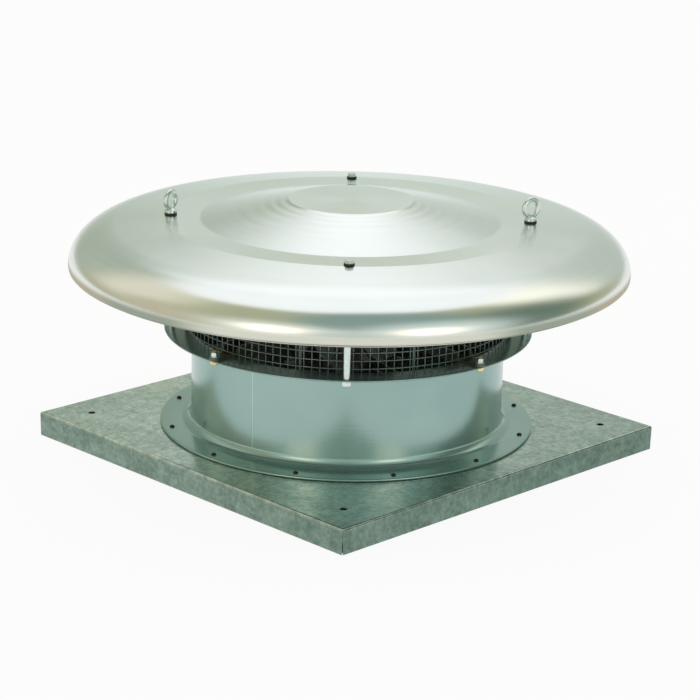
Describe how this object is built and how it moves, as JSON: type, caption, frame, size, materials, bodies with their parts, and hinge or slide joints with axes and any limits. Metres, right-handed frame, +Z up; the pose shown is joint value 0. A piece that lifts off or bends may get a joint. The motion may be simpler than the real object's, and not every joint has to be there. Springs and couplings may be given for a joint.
{
  "type": "roof fan",
  "caption": "Roof extract fan: spun aluminium cowl over a wire guard, flanged round casing on a square plate, vertical motor with axial impeller.",
  "frame": {"origin": "centre of the base plate, at the lower edge of its folded rims", "axes": "+Z up along the impeller shaft, out through the cowl's crown; +X and +Y parallel to the plate's sides"},
  "size_m": [0.9006, 0.9006, 0.42],
  "materials": {
    "galvanised_sheet": "hot-dip galvanised, mottled spangle",
    "casing_paint": "satin grey-green paint",
    "spun_aluminium": "spun, fine concentric tool marks",
    "guard_wire": "galvanised welded wire",
    "bright_zinc": "bright zinc plate",
    "yellow_zinc": "yellow passivated zinc plate",
    "black_fastener": "black oxide",
    "rubber_black": "matt",
    "motor_paint": "dark satin enamel on castings",
    "cast_aluminium": "die cast, matt",
    "machined_steel": "ground",
    "lamination": "stacked electrical sheet",
    "winding": "varnished copper",
    "gland_plastic": "moulded"
  },
  "bodies": {
    "fan_frame": {"base_plate": "galvanised_sheet", "casing": "casing_paint", "flange_rivets": "black_fastener", "foot_gasket": "rubber_black", "cowl_posts": "bright_zinc", "post_washers": "bright_zinc", "post_nuts": "bright_zinc", "arm_bolts": "yellow_zinc", "arm_washers": "bright_zinc", "arm_nuts": "bright_zinc", "motor_arms": "yellow_zinc", "guard_uprights": "guard_wire", "guard_hoops": "guard_wire", "cowl": "spun_aluminium", "cowl_washers": "rubber_black", "eye_bolts": "bright_zinc", "cowl_bolts": "bright_zinc", "drive_end_shield": "motor_paint", "motor_housing": "motor_paint", "rear_end_shield": "motor_paint", "tie_screws": "bright_zinc", "stator_core": "lamination", "stator_windings": "winding", "motor_bearings": "machined_steel", "motor_bolts": "bright_zinc", "motor_nuts": "bright_zinc", "terminal_box": "motor_paint", "terminal_lid": "motor_paint", "terminal_screws": "bright_zinc", "cable_gland": "gland_plastic"},
    "rotor": {"motor_shaft": "machined_steel", "rotor_core": "lamination", "shaft_key": "machined_steel", "hub_upper": "cast_aluminium", "hub_lower": "cast_aluminium", "clamp_screws": "bright_zinc", "retaining_screw": "bright_zinc", "hub_cap": "spun_aluminium", "impeller_blades": "cast_aluminium"}
  },
  "joints": [
    {"name": "impeller_spin", "type": "hinge", "parent": "fan_frame", "child": "rotor", "pos_m": [0, 0, 0.1403], "axis": [0, 0, 1], "continuous": true}
  ]
}
